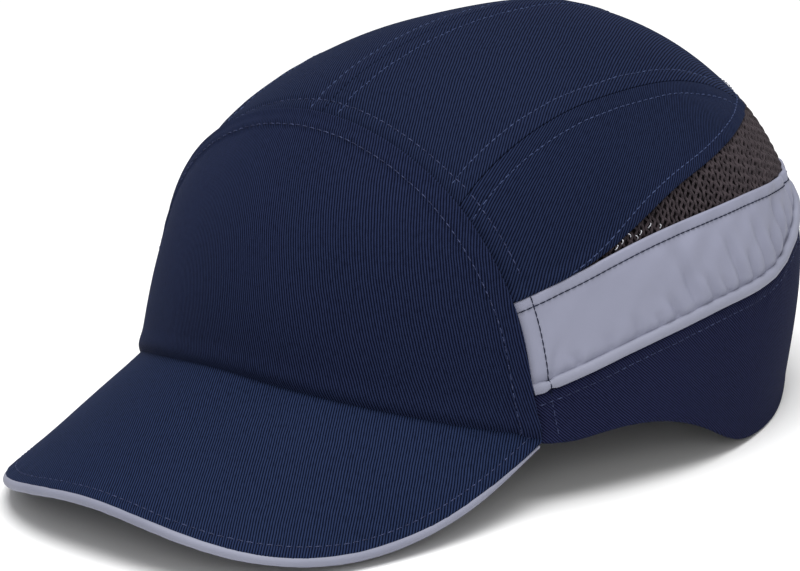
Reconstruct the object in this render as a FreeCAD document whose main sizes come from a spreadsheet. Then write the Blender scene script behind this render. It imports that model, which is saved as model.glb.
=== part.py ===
import FreeCAD, Part
import math
import os

# A bump cap: sewn fabric panels over a removable plastic liner, with a cambered peak,
# a reflective band, mesh vents and a hook-and-loop strap across the arch at the back.
# Design frame: peak towards -Y, wearer's left +X, +Z up, Y = 0 at the middle of the crown.
# Every piece is then tipped by rest_pitch and moved, so that the cap rests on Z = 0.

os.makedirs("parts", exist_ok=True)
doc = FreeCAD.newDocument("bump_cap")
V = FreeCAD.Vector

DIMENSIONS = {
    # where the finished cap lies
    "crown_y": 28.72, "rest_lift": 0.07, "rest_pitch": 1.2,
    # crown surface
    "crown_height": 119.9, "front_reach": 105.3, "rear_reach": 105.0, "half_width": 88.0,
    "apex_y": 7.5, "widest_y": 14.5, "plan_power": 2.14,
    "front_power": 2.96, "front_root": 2.2, "rear_power": 3.0, "rear_root": 2.3,
    "side_power": 4.0, "side_root": 1.41,
    "nape_tuck": 7.8, "nape_tuck_height": 63.0,
    # layers, measured inwards from the outside of the fabric
    "bead_proud": 1.0, "fabric": 1.2, "tape_out": 1.35, "tape_in": 1.95,
    "sweat_out": 2.1, "sweat_in": 4.4, "liner_out": 5.4, "liner_in": 7.4,
    "pad_out": 7.5, "pad_in": 12.5,
    # seams
    "seam_gap": 0.2, "side_seam_x": 50.0, "tape_width": 12.0, "bead_height": 3.5,
    "mesh_tip_y": -33.0, "sweat_end_y": 30.0, "sweat_rim": 1.5,
    # peak
    "peak_root_z": 34.7, "peak_slope": 0.405, "peak_radius": 96.0, "peak_half_width": 74.9,
    "peak_back_y": -48.0, "peak_reach": 110.5, "peak_power": 2.85,
    "peak_end_y": -57.8, "cover": 0.7, "board": 1.4, "peak_bead": 1.8, "board_inset": 1.0,
    "peak_clearance": 0.15, "bead_clearance": 0.05,
    # opening at the back and its strap
    "arch_half_width": 40.0, "arch_height": 44.0, "arch_spring": 12.0,
    "binding_width": 4.0, "binding_proud": 0.5,
    "strap_axis_y": 15.0, "strap_radius": 80.0, "strap_thick": 1.0, "patch_thick": 0.7,
    "strap_slip": 0.15, "strap_bottom": 10.0, "strap_height": 22.0,
    # liner
    "liner_bottom": 71.0, "slot_width": 8.0, "slot_length": 34.0,
}

sheet = doc.addObject("Spreadsheet::Sheet", "dims")
for row, (alias, value) in enumerate(DIMENSIONS.items(), start=1):
    sheet.set(f"A{row}", alias)
    sheet.set(f"B{row}", str(value))
    sheet.setAlias(f"B{row}", alias)
doc.recompute()


def size(alias):
    return float(sheet.get(alias))


SPAN = 400.0      # longer than the cap, for tools that cut right through it
TOP = 200.0       # above the crown
SECTIONS = 9      # horizontal sections through the crown
RING_POINTS = 32  # points round each section
LAST_SECTION = 0.965  # how far up the quarter circle of levels the last section is
SKIRT = -12.0     # level of the section below the rim
PLY_GAP = 0.02    # between the peak's plies
FRAME_YZ = FreeCAD.Rotation(V(0, 1, 0), V(0, 0, 1), V(1, 0, 0), "ZXY")
FRAME_XZ = FreeCAD.Rotation(V(1, 0, 0), V(0, 0, 1), V(0, -1, 0), "ZXY")


# ---- crown surface ---------------------------------------------------------------------
def fade(height, power, root):
    """How far the crown still reaches out at a height given as a part of its full height."""
    return max(1.0 - height ** power, 0.0) ** (1.0 / root)


def signed_power(value, power):
    return math.copysign(abs(value) ** power, value)


def crown_point(level, turn, inset):
    """A point on the crown at a level, turn radians from the front towards the left."""
    share = min(max(level / (size("crown_height") - inset), 0.0), 1.0)
    apex = size("apex_y")
    front = apex - (size("front_reach") + apex - inset) * fade(share, size("front_power"), size("front_root"))
    rear = apex + (size("rear_reach") - apex - inset) * fade(share, size("rear_power"), size("rear_root"))
    half = (size("half_width") - inset) * fade(share, size("side_power"), size("side_root"))
    middle = size("widest_y") + (apex - size("widest_y")) * share ** 3
    middle = min(max(middle, front), rear)
    along = signed_power(math.cos(turn), 2.0 / size("plan_power"))
    across = signed_power(math.sin(turn), 2.0 / size("plan_power"))
    reach = middle - front if along > 0 else rear - middle
    backness = min(max((0.2 - math.cos(turn)) / 0.8, 0.0), 1.0)
    backness = backness ** 2 * (3.0 - 2.0 * backness)
    low = max(1.0 - level / size("nape_tuck_height"), 0.0) ** 1.3
    tuck = 1.0 - size("nape_tuck") * low * backness / size("half_width")
    return V(half * across * tuck, middle - reach * along * tuck, 0)


def crown_solid(name, inset):
    """The whole crown as one solid, inset from the outside of the fabric."""
    levels = [SKIRT]
    for index in range(SECTIONS):
        rise = math.sin(LAST_SECTION * index / (SECTIONS - 1) * math.pi / 2)
        levels.append((size("crown_height") - inset) * rise)
    rings = []
    for index, level in enumerate(levels):
        turns = [-math.pi / 2 + 2 * math.pi * i / RING_POINTS for i in range(RING_POINTS)]
        curve = Part.BSplineCurve()
        curve.interpolate(Points=[crown_point(level, turn, inset) for turn in turns], PeriodicFlag=True)
        ring = doc.addObject("Sketcher::SketchObject", f"{name}_ring_{index}")
        ring.addGeometry(curve, False)
        ring.Placement = FreeCAD.Placement(V(0, 0, level), FreeCAD.Rotation())
        rings.append(ring)
    solid = doc.addObject("Part::Loft", name)
    solid.Sections = rings
    solid.Solid = True
    return solid


# ---- tools -----------------------------------------------------------------------------
def sketch(name, edges, rotation, base=V(0, 0, 0)):
    made = doc.addObject("Sketcher::SketchObject", name)
    made.addGeometry(edges, False)
    made.Placement = FreeCAD.Placement(base, rotation)
    return made


def closed_edges(curve, corners):
    """A curve closed through straight lines to the given corners."""
    ends = [V(curve.EndPoint)] + corners + [V(curve.StartPoint)]
    return [curve] + [Part.LineSegment(a, b) for a, b in zip(ends, ends[1:])]


def spline(points):
    curve = Part.BSplineCurve()
    curve.interpolate(Points=[V(u, v, 0) for u, v in points])
    return curve


def extrude(name, base, direction, forward, reverse=0.0):
    made = doc.addObject("Part::Extrusion", name)
    made.Base = base
    made.DirMode = "Custom"
    made.Dir = direction
    made.LengthFwd = forward
    made.LengthRev = reverse
    made.Solid = True
    return made


def above(name, points, lift=0.0):
    """Everything above a curve drawn in the side view, from Y and Z pairs."""
    curve = spline([(y, z + lift) for y, z in points])
    edges = closed_edges(curve, [V(points[-1][0], TOP, 0), V(points[0][0], TOP, 0)])
    return extrude(name, sketch(name + "_sketch", edges, FRAME_YZ), V(1, 0, 0), SPAN / 2, SPAN / 2)


def behind(name, points, step=0.0, start_x=None):
    """Everything behind a curve drawn in the side view, all across or from start_x to the left."""
    curve = spline([(y + step, z) for y, z in points])
    edges = closed_edges(curve, [V(SPAN, points[-1][1], 0), V(SPAN, points[0][1], 0)])
    base = sketch(name + "_sketch", edges, FRAME_YZ)
    if start_x is None:
        return extrude(name, base, V(1, 0, 0), SPAN / 2, SPAN / 2)
    return extrude(name, base, V(1, 0, 0), SPAN / 2, -start_x)


def box(name, low, high):
    made = doc.addObject("Part::Box", name)
    made.Length, made.Width, made.Height = (b - a for a, b in zip(low, high))
    made.Placement.Base = V(*low)
    return made


def join(kind, name, base, tools):
    """A chain of Part::Cut or Part::Common objects; the last one has the name."""
    for index, tool in enumerate(tools):
        last = index == len(tools) - 1
        made = doc.addObject(kind, name if last else f"{name}_step_{index}_{kind[6:]}")
        made.Base = base
        made.Tool = tool
        base = made
    return base


def cut(name, base, *tools):
    return join("Part::Cut", name, base, tools)


def common(name, base, *tools):
    return join("Part::Common", name, base, tools)


nodes = []


def node(label, made):
    """Names a finished piece and puts it where the resting cap has it."""
    made.Label = label
    made.setExpression("Placement.Base.y", "dims.crown_y")
    made.setExpression("Placement.Base.z", "dims.rest_lift")
    made.Placement = FreeCAD.Placement(V(0, 0, 0), FreeCAD.Rotation(V(1, 0, 0), -size("rest_pitch")))
    nodes.append(made)
    return made


def pair(label, left):
    """A left piece and its mirror image on the right."""
    node(label + "_left", left)
    right = doc.addObject("Part::Mirroring", label + "_mirror")
    right.Source = left
    right.Normal = V(1, 0, 0)
    right.Label = label + "_right"
    nodes.append(right)


# ---- outlines in the side view, as Y and Z -----------------------------------------------
SEAM = [(-52, -15), (-54.6, 18), (-56.7, 33), (-58, 52), (-60.3, 71), (-62.2, 88), (-64, 101), (-67, 125)]
RIM = [(-130, 22), (-75, 20), (-56, 17.8), (-46, 17), (-37, 18), (-28, 18.5), (-14, 16.7), (-6, 14),
       (1, 10.8), (8, 7), (17, 3), (27, 1.2), (36, 0.8), (60, 1.6), (85, 3.2), (130, 8)]
BAND_LOW = [(-75, 28), (-57, 31.8), (-44, 35.1), (-26, 39.5), (-4, 43.1), (17, 45.1), (32, 46), (42, 47.8),
            (50, 50.4), (60, 53.5), (72, 57), (88, 59.5), (130, 60.5)]
BAND_TOP = [(-75, 53), (-58, 58.6), (-37, 64.8), (-21, 68.6), (-6, 70.8), (14, 72.1), (34, 72.3), (48, 71.3),
            (62, 70), (74, 68.8), (84, 67.2), (98, 66.2), (130, 65.5)]
SIDE_LOW = [(-75, 52), (-58, 57.6), (-44, 62.8), (-29, 68.1), (-19, 72.2), (-8, 76.5), (6, 80.6), (18, 82.9),
            (40, 86.2), (55, 87.4), (75, 87.8), (95, 87.8), (130, 87.8)]
SWEAT_TOP = [(-130, 70), (-60, 60), (30, 44)]

gap = size("seam_gap")
half_gap = gap / 2

outer = crown_solid("outer", 0.0)
fabric_wall = cut("fabric_wall", outer, crown_solid("fabric_inside", size("fabric")))
bead_wall = cut("bead_wall", crown_solid("bead_outside", -size("bead_proud")),
                crown_solid("bead_inside", size("fabric")))
tape_wall = cut("tape_wall", crown_solid("tape_outside", size("tape_out")),
                crown_solid("tape_inside", size("tape_in")))
sweat_wall = cut("sweat_wall", crown_solid("sweat_outside", size("sweat_out")),
                 crown_solid("sweat_inside", size("sweat_in")))
liner_wall = cut("liner_wall", crown_solid("liner_outside", size("liner_out")),
                 crown_solid("liner_inside", size("liner_in")))
pad_wall = cut("pad_wall", crown_solid("pad_outside", size("pad_out")),
               crown_solid("pad_inside", size("pad_in")))


# ---- peak ------------------------------------------------------------------------------
SHEET_SHARE = 0.95    # how much of its radius the cambered sheet spans to each side
SHEET_START = 66.0    # how far behind the forehead the sheet starts, inside the crown
SHEET_LENGTH = 150.0


def peak_slab(name, top, thickness):
    """The peak's cambered sheet, top above its nominal surface, sloping down to the front."""
    radius = size("peak_radius")
    side_x = radius * SHEET_SHARE
    high = size("peak_root_z") + size("peak_slope") * SHEET_START + top
    edges = []
    for level in (high, high - thickness):
        centre = level - radius
        side_z = centre + math.sqrt(radius ** 2 - side_x ** 2)
        edges.append(Part.Arc(V(-side_x, side_z, 0), V(0, level, 0), V(side_x, side_z, 0)))
    upper, lower = edges
    edges.append(Part.LineSegment(V(upper.EndPoint), V(lower.EndPoint)))
    edges.append(Part.LineSegment(V(lower.StartPoint), V(upper.StartPoint)))
    base = sketch(name + "_sketch", edges, FRAME_XZ, V(0, SHEET_START - size("front_reach"), 0))
    return extrude(name, base, V(0, -1, -size("peak_slope")), SHEET_LENGTH)


def peak_plan(name, grow):
    """The peak's outline in plan as a tall block: a superellipse with straight sides behind."""
    half = size("peak_half_width") + grow
    reach = size("peak_reach") + grow
    steps = 16
    points = []
    for index in range(steps + 1):
        turn = math.pi / 2 - math.pi * index / steps
        x = half * signed_power(math.sin(turn), 2 / size("peak_power"))
        y = size("peak_back_y") - reach * abs(math.cos(turn)) ** (2 / size("peak_power"))
        points.append((x, y))
    edges = closed_edges(spline(points), [V(-half, 20, 0), V(half, 20, 0)])
    return extrude(name, sketch(name + "_sketch", edges, FreeCAD.Rotation(), V(0, 0, -50)), V(0, 0, 1), SPAN)


cover = size("cover")
board = size("board")
sheet_thick = 2 * cover + board
crown_clear = crown_solid("crown_clear", -size("peak_clearance"))
plan = peak_plan("peak_plan", 0.0)
plan_inner = peak_plan("peak_plan_inner", -size("board_inset"))
bead_plan = cut("peak_bead_plan", peak_plan("peak_plan_outer", size("peak_bead")),
                peak_plan("peak_plan_edge", size("bead_clearance")))
front_half = box("front_half", (-SPAN / 2, -SPAN / 2, -50), (SPAN / 2, size("peak_end_y"), SPAN))
top_slab = peak_slab("peak_top_slab", 0.0, cover)
node("peak_top_cover", cut("peak_top_cut", common("peak_top_sheet", top_slab, plan, front_half), crown_clear))
board_slab = peak_slab("peak_board_slab", -cover - PLY_GAP, board - 2 * PLY_GAP)
board_sheet = common("peak_board_sheet", board_slab, plan_inner, front_half)
node("peak_board", cut("peak_board_cut", board_sheet, crown_clear))
under_slab = peak_slab("peak_under_slab", -cover - board, cover)
under_sheet = common("peak_under_sheet", under_slab, plan, front_half)
node("peak_under_cover", cut("peak_under_cut", under_sheet, crown_clear))
bead_slab = peak_slab("peak_bead_slab", 0.1, sheet_thick + 0.1)
peak_bead = common("peak_bead", bead_slab, bead_plan, front_half)
node("peak_piping", cut("peak_piping_cut", peak_bead, crown_clear))

# ---- fabric panels -----------------------------------------------------------------------
under_peak = peak_slab("under_peak", 0.1, 120.0)
behind_all = behind("behind_all", SEAM, half_gap)
left_wall = common("left_wall", fabric_wall, behind("behind_left", SEAM, half_gap, half_gap))
above_rim = above("above_rim", RIM)
above_band_low = above("above_band_low", BAND_LOW)
above_bead = above("above_bead", BAND_LOW, size("bead_height"))
above_band = above("above_band", BAND_TOP)
above_side = above("above_side", SIDE_LOW)

node("front_panel", cut("front_cut", fabric_wall, behind("behind_front", SEAM, -half_gap), under_peak))

seam_x = size("side_seam_x")
top_box = box("top_box", (0, -SPAN / 2, 60), (seam_x - half_gap, SPAN / 2, SPAN))
side_box = box("side_box", (seam_x + half_gap, -SPAN / 2, 0), (SPAN / 2, SPAN / 2, SPAN))
crown_left = common("crown_left", left_wall, above_band, above_side)
pair("crown_top_panel", common("crown_top", crown_left, top_box))
pair("crown_side_panel", common("crown_side", crown_left, side_box))

rear_wall = common("rear_wall", fabric_wall, behind_all)
above_band_gap = above("above_band_gap", BAND_TOP, gap)
above_side_gap = above("above_side_gap", SIDE_LOW, -gap)
behind_tip = box("behind_tip", (-SPAN / 2, size("mesh_tip_y"), 0), (SPAN / 2, SPAN / 2, SPAN))
node("mesh_vent", cut("mesh_cut", common("mesh", rear_wall, above_band_gap, behind_tip), above_side_gap))

above_bead_gap = above("above_bead_gap", BAND_LOW, size("bead_height") + gap)
pair("reflective_band", cut("band_cut", common("band", left_wall, above_bead_gap), above_band))
node("band_piping", cut("bead_cut", common("bead", bead_wall, behind_all, above_band_low), above_bead))


# ---- lower back panels, arch and its binding -----------------------------------------------
def arch(name, grow):
    """The arch across the back as a block along Y: straight legs under half an ellipse."""
    wide = size("arch_half_width") + grow
    rise = size("arch_height") - size("arch_spring") + grow
    half = Part.ArcOfEllipse(Part.Ellipse(V(0, size("arch_spring"), 0), wide, rise), 0, math.pi)
    edges = closed_edges(half, [V(-wide, -20, 0), V(wide, -20, 0)])
    return extrude(name, sketch(name + "_sketch", edges, FRAME_XZ), V(0, 1, 0), SPAN)


width = size("binding_width")
above_low_gap = above("above_low_gap", BAND_LOW, -gap)
lower_left = common("lower_left", left_wall, above_rim)
lower = cut("lower", lower_left, above_low_gap, arch("arch_clear", width + half_gap))
pair("lower_rear_panel", lower)
binding_wall = cut("binding_wall", crown_solid("binding_outside", -size("binding_proud")),
                   crown_solid("binding_inside", size("tape_in")))
binding = common("binding", binding_wall, arch("arch_binding_outer", width), above_rim,
                 box("rear_half", (-SPAN / 2, 20, -20), (SPAN / 2, SPAN / 2, SPAN)))
node("arch_binding", cut("binding_cut", binding, arch("arch_hole", 0.0)))

# ---- seam tapes and sweatband ----------------------------------------------------------------
tape_half = size("tape_width") / 2
front_tape = cut("front_tape", tape_wall, behind("behind_tape", SEAM, tape_half), under_peak)
node("front_seam_tape", common("front_tape_strip", front_tape, behind("ahead_tape", SEAM, -tape_half)))
tape_rear = common("tape_rear", tape_wall, behind("behind_front_tape", SEAM, tape_half + gap), above_side)
centre_strip = box("centre_strip", (-tape_half, -SPAN / 2, 60), (tape_half, SPAN / 2, SPAN))
node("centre_seam_tape", common("centre_tape", tape_rear, centre_strip))
side_strip = box("side_strip", (seam_x - tape_half, -SPAN / 2, 60), (seam_x + tape_half, SPAN / 2, SPAN))
pair("side_seam_tape", common("side_tape", tape_rear, side_strip))

ears = box("ears", (-SPAN / 2, -SPAN / 2, -50), (SPAN / 2, size("sweat_end_y"), SPAN))
above_rim_band = above("above_rim_band", RIM, size("sweat_rim"))
sweat = common("sweat", sweat_wall, ears, above_rim_band)
node("sweatband", cut("sweat_cut", sweat, above("above_sweat", SWEAT_TOP), under_peak))

# ---- removable liner: shell with vent slots, and foam pads ------------------------------------
SLOT_COLUMNS = (-42.0, 0.0, 42.0)
SLOT_ROWS = (-44.0, 40.0)
bottom = size("liner_bottom")
above_liner = box("above_liner", (-SPAN / 2, -SPAN / 2, bottom), (SPAN / 2, SPAN / 2, SPAN))
slot_half = size("slot_width") / 2
slots = []
for row_x in SLOT_COLUMNS:
    for row_y in SLOT_ROWS:
        slots.append(box(f"slot_{len(slots)}", (row_x - slot_half, row_y - size("slot_length") / 2, 60),
                         (row_x + slot_half, row_y + size("slot_length") / 2, SPAN)))
node("liner_shell", cut("liner_cut", common("liner", liner_wall, above_liner), *slots))

PADS = {
    "crown_pad": ((-26, -20, 60), (26, 18, SPAN)),
    "front_pad": ((-44, -120, 74), (44, -66, 96)),
    "rear_pad": ((-34, 64, 74), (34, 120, 94)),
}
for label, (low, high) in PADS.items():
    node(label, common(label + "_common", pad_wall, box(label + "_box", low, high)))
pair("side_pad", common("side_pad_common", pad_wall, box("side_pad_box", (48, -34, 72), (120, 30, 92))))


# ---- hook-and-loop strap across the arch ------------------------------------------------------
def strap_piece(label, outside, thickness, angles, trim):
    """An upright strip on a circle about the strap axis, between two angles from the left."""
    start, end = angles
    disc = doc.addObject("Part::Cylinder", label + "_disc")
    core = doc.addObject("Part::Cylinder", label + "_core")
    disc.setExpression("Radius", f"dims.strap_radius - {outside}")
    core.setExpression("Radius", f"dims.strap_radius - {outside + thickness}")
    for part in (disc, core):
        part.setExpression("Height", f"dims.strap_height - {2 * trim}")
        part.Placement = FreeCAD.Placement(V(0, size("strap_axis_y"), size("strap_bottom") + trim),
                                           FreeCAD.Rotation(V(0, 0, 1), start))
    disc.Angle = end - start
    return node(label, cut(label + "_ring", disc, core))


strap_thick = size("strap_thick")
patch_thick = size("patch_thick")
slip = size("strap_slip")
HOOK_STRAP = (76, 130)
LOOP_STRAP = (50, 102)
strap_piece("hook_strap", 0.0, strap_thick, HOOK_STRAP, 0.0)
strap_piece("hook_patch", strap_thick, patch_thick, (78, 94), 2.0)
inside = strap_thick + 2 * patch_thick + slip
strap_piece("loop_patch", inside - patch_thick, patch_thick, (64, 100), 2.0)
strap_piece("loop_strap", inside, strap_thick, LOOP_STRAP, 0.0)

# ---- check and write ----------------------------------------------------------------------
doc.recompute()
failed = [made.Name for made in doc.Objects if "Invalid" in made.State or "Error" in made.State]
if failed:
    raise RuntimeError("failed objects: " + ", ".join(failed))
for made in nodes:
    if made.Shape.isNull() or not made.Shape.isValid() or not made.Shape.Solids:
        raise RuntimeError("bad shape: " + made.Label)
for made in nodes:
    made.Shape.exportStep(f"parts/{made.Label}.step")
    bounds = made.Shape.BoundBox
    print(f"{made.Label:24s} solids {len(made.Shape.Solids)} volume {made.Shape.Volume / 1000:8.3f} cm3  "
          f"x {bounds.XMin:7.2f} {bounds.XMax:7.2f}  y {bounds.YMin:7.2f} {bounds.YMax:7.2f}  "
          f"z {bounds.ZMin:7.2f} {bounds.ZMax:7.2f}")
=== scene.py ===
import math

import bpy
import numpy as np
from mathutils import Matrix, Vector


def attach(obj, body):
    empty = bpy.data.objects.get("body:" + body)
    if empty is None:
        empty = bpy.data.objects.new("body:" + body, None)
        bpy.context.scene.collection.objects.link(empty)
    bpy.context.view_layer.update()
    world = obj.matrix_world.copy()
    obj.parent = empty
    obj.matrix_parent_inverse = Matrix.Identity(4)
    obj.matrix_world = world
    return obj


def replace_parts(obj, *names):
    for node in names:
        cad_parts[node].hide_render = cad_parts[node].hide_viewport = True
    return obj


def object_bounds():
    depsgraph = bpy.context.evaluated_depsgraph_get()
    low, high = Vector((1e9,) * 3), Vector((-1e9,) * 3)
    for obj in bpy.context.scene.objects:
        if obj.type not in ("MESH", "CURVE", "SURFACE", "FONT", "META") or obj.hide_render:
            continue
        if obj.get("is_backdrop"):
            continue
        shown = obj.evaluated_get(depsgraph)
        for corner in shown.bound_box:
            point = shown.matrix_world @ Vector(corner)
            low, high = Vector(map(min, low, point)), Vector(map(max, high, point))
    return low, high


# A bump cap: navy twill panels over a removable padded liner, a cambered peak, reflective bands,
# mesh vents and a hook-and-loop strap. Shapes are worked out in millimetres in the cap's own design
# frame (peak towards -Y, Y = 0 at the middle of the crown) and placed in the row frame in metres.

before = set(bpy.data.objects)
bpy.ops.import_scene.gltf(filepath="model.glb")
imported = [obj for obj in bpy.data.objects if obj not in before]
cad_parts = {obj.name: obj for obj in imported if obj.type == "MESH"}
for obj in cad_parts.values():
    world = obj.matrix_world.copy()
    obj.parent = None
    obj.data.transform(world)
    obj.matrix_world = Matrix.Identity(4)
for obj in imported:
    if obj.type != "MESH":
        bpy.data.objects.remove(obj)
cad_low, cad_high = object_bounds()

# ---- driving dimensions, in millimetres and degrees ----
CROWN_Y, REST_LIFT, REST_PITCH = 28.72, 0.07, 1.2
CROWN_HEIGHT, FRONT_REACH, REAR_REACH, HALF_WIDTH = 119.9, 105.3, 105.0, 88.0
APEX_Y, WIDEST_Y, PLAN_POWER = 7.5, 14.5, 2.14
FRONT_POWER, FRONT_ROOT, REAR_POWER, REAR_ROOT = 2.96, 2.2, 3.0, 2.3
SIDE_POWER, SIDE_ROOT = 4.0, 1.41
NAPE_TUCK, NAPE_TUCK_HEIGHT = 7.8, 63.0
BROW_PUFF, BROW_PUFF_HEIGHT = 14.0, 62.0
FABRIC, BEAD_HEIGHT, SIDE_SEAM_X = 1.2, 3.5, 50.0
PEAK_ROOT_Z, PEAK_SLOPE, PEAK_RADIUS = 34.7, 0.405, 96.0
PEAK_HALF_WIDTH, PEAK_BACK_Y, PEAK_REACH, PEAK_POWER = 74.9, -48.0, 110.5, 2.85
PEAK_THICK = 2.8
ARCH_HALF_WIDTH, ARCH_HEIGHT, ARCH_SPRING, BINDING_WIDTH = 40.0, 44.0, 12.0, 4.0
STRAP_AXIS_Y, STRAP_RADIUS, STRAP_BOTTOM, STRAP_HEIGHT = 15.0, 80.0, 10.0, 22.0

# outlines in the side view, as Y and Z
SEAM = [(-52, -15), (-54.6, 18), (-56.7, 33), (-58, 52), (-60.3, 71), (-62.2, 88), (-64, 101), (-67, 125)]
RIM = [(-130, 22), (-75, 20), (-56, 17.8), (-46, 17), (-37, 18), (-28, 18.5), (-14, 16.7), (-6, 14),
       (1, 10.8), (8, 7), (17, 3), (27, 1.2), (36, 0.8), (60, 1.6), (85, 3.2), (130, 8)]
BAND_LOW = [(-75, 28), (-57, 31.8), (-44, 35.1), (-26, 39.5), (-4, 43.1), (17, 45.1), (32, 46), (42, 47.8),
            (50, 50.4), (60, 53.5), (72, 57), (88, 59.5), (130, 60.5)]
BAND_TOP = [(-75, 53), (-58, 58.6), (-37, 64.8), (-21, 68.6), (-6, 70.8), (14, 72.1), (34, 72.3), (48, 71.3),
            (62, 70), (74, 68.8), (84, 67.2), (98, 66.2), (130, 65.5)]
SIDE_LOW = [(-75, 52), (-58, 57.6), (-44, 62.8), (-29, 68.1), (-19, 72.2), (-8, 76.5), (6, 80.6), (18, 82.9),
            (40, 86.2), (55, 87.4), (75, 87.8), (95, 87.8), (130, 87.8)]
SWEAT_TOP = [(-130, 70), (-60, 60), (30, 44)]

PITCH = math.radians(REST_PITCH)
TO_ROW = np.array([[1, 0, 0], [0, math.cos(PITCH), math.sin(PITCH)], [0, -math.sin(PITCH), math.cos(PITCH)]])


def place(points):
    """Design-frame millimetres to row-frame metres."""
    return (np.asarray(points, float) @ TO_ROW.T + np.array([0.0, CROWN_Y, REST_LIFT])) / 1000.0


# ---- small maths ----
def signed_power(value, power):
    return np.sign(value) * np.abs(value) ** power


def smooth(low, high, value):
    """0 below low, 1 above high, with a smooth step between."""
    part = np.clip((value - low) / (high - low), 0, 1)
    return part * part * (3 - 2 * part)


def bump(value, width):
    return np.exp(-(value / width) ** 2)


def curve_through(points):
    """A smooth function through (input, output) pairs: natural cubic spline."""
    xs, ys = np.array(points, float).T
    n = len(xs)
    gaps = np.diff(xs)
    system, right = np.eye(n), np.zeros(n)
    for i in range(1, n - 1):
        system[i, i - 1:i + 2] = gaps[i - 1], 2 * (gaps[i - 1] + gaps[i]), gaps[i]
        right[i] = 6 * ((ys[i + 1] - ys[i]) / gaps[i] - (ys[i] - ys[i - 1]) / gaps[i - 1])
    bend = np.linalg.solve(system, right)

    def evaluate(x):
        x = np.clip(x, xs[0], xs[-1])
        i = np.clip(np.searchsorted(xs, x) - 1, 0, n - 2)
        gap, left, rest = gaps[i], xs[i + 1] - x, x - xs[i]
        return ((bend[i] * left ** 3 + bend[i + 1] * rest ** 3) / (6 * gap)
                + (ys[i] / gap - bend[i] * gap / 6) * left + (ys[i + 1] / gap - bend[i + 1] * gap / 6) * rest)
    return evaluate


RIPPLE_PEAK = 1.3  # brings the sum of waves to about 1


def ripples(points, wavelength, seed, waves=7):
    """Smooth unevenness between about -1 and 1, the same each run."""
    random = np.random.default_rng(seed)
    total = np.zeros(len(points))
    for _ in range(waves):
        direction = random.normal(size=3)
        direction *= 2 * math.pi / wavelength * random.uniform(0.6, 1.5) / np.linalg.norm(direction)
        total += np.sin(points @ direction + random.uniform(0, 2 * math.pi))
    return total / math.sqrt(waves) / RIPPLE_PEAK


seam_at = curve_through([(z, y) for y, z in SEAM])
rim_at, band_low_at, band_top_at, side_low_at = map(curve_through, (RIM, BAND_LOW, BAND_TOP, SIDE_LOW))
sweat_top_at = curve_through(SWEAT_TOP)


# ---- crown surface ----
def fade(share, power, root):
    return np.maximum(1.0 - share ** power, 0.0) ** (1.0 / root)


def crown_plan(level):
    """Front, rear, half width and widest place of the crown's outline at a level."""
    share = np.clip(level / CROWN_HEIGHT, 0, 1)
    front = APEX_Y - (FRONT_REACH + APEX_Y) * fade(share, FRONT_POWER, FRONT_ROOT)
    rear = APEX_Y + (REAR_REACH - APEX_Y) * fade(share, REAR_POWER, REAR_ROOT)
    half = HALF_WIDTH * fade(share, SIDE_POWER, SIDE_ROOT)
    middle = np.clip(WIDEST_Y + (APEX_Y - WIDEST_Y) * share ** 3, front, rear)
    return front, rear, half, middle


def crown_at(turn, level):
    """Points of the crown at turn radians from the front towards the left, and at a level."""
    front, rear, half, middle = crown_plan(level)
    along = signed_power(np.cos(turn), 2 / PLAN_POWER)
    across = signed_power(np.sin(turn), 2 / PLAN_POWER)
    backness = smooth(0.0, 1.0, (0.2 - np.cos(turn)) / 0.8)
    low = np.maximum(1 - level / NAPE_TUCK_HEIGHT, 0) ** 1.3
    tuck = 1 - NAPE_TUCK * low * backness / HALF_WIDTH
    reach = np.where(along > 0, middle - front, rear - middle)
    y = middle - reach * along * tuck
    # the cloth beside the peak on the wearer's right has been pushed out a little
    frontness = smooth(-0.3, 0.5, np.cos(turn)) * (turn < 0)
    puff = BROW_PUFF * frontness * np.maximum(1 - level / BROW_PUFF_HEIGHT, 0) ** 1.3 / HALF_WIDTH
    return np.stack([half * across * (tuck + puff), y, level + 0 * turn], -1)


LOWEST_TOP, HALVINGS = 40.0, 36


def crown_over(x, y):
    """The crown's height over a place in plan, by halving."""
    low, high = np.full(x.shape, LOWEST_TOP), np.full(x.shape, CROWN_HEIGHT)
    for _ in range(HALVINGS):
        level = (low + high) / 2
        inside = outside_plan(x, y, level) < 0
        low, high = np.where(inside, level, low), np.where(inside, high, level)
    return low


def outside_plan(x, y, level):
    """Negative inside the crown's outline at a level, positive outside it."""
    front, rear, half, middle = crown_plan(level)
    reach = np.where(y < middle, middle - front, rear - middle)
    return ((np.abs(x) / np.maximum(half, 1e-6)) ** PLAN_POWER
            + (np.abs(y - middle) / np.maximum(reach, 1e-6)) ** PLAN_POWER - 1)


def peak_top(x, y):
    camber = PEAK_RADIUS - np.sqrt(np.maximum(PEAK_RADIUS ** 2 - x ** 2, 1))
    return PEAK_ROOT_Z + PEAK_SLOPE * (y + FRONT_REACH) - camber


# ---- patches: gridded surfaces that carry named values, cut along curves ----
FIELDS = ["seam", "centre", "side", "low", "bead", "top", "hem", "rim", "peak", "arch", "around", "up",
          "outline", "crown"]
BASE = 6  # columns of place and normal before the named values
COLUMN = {name: BASE + i for i, name in enumerate(FIELDS)}


class Patch:
    def __init__(self, rows, faces):
        self.rows, self.faces = rows, faces

    def get(self, name):
        return self.rows[:, COLUMN[name]]

    @property
    def places(self):
        return self.rows[:, :3]

    @property
    def normals(self):
        return self.rows[:, 3:6]

    def copy(self):
        return Patch(self.rows.copy(), list(self.faces))


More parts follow.
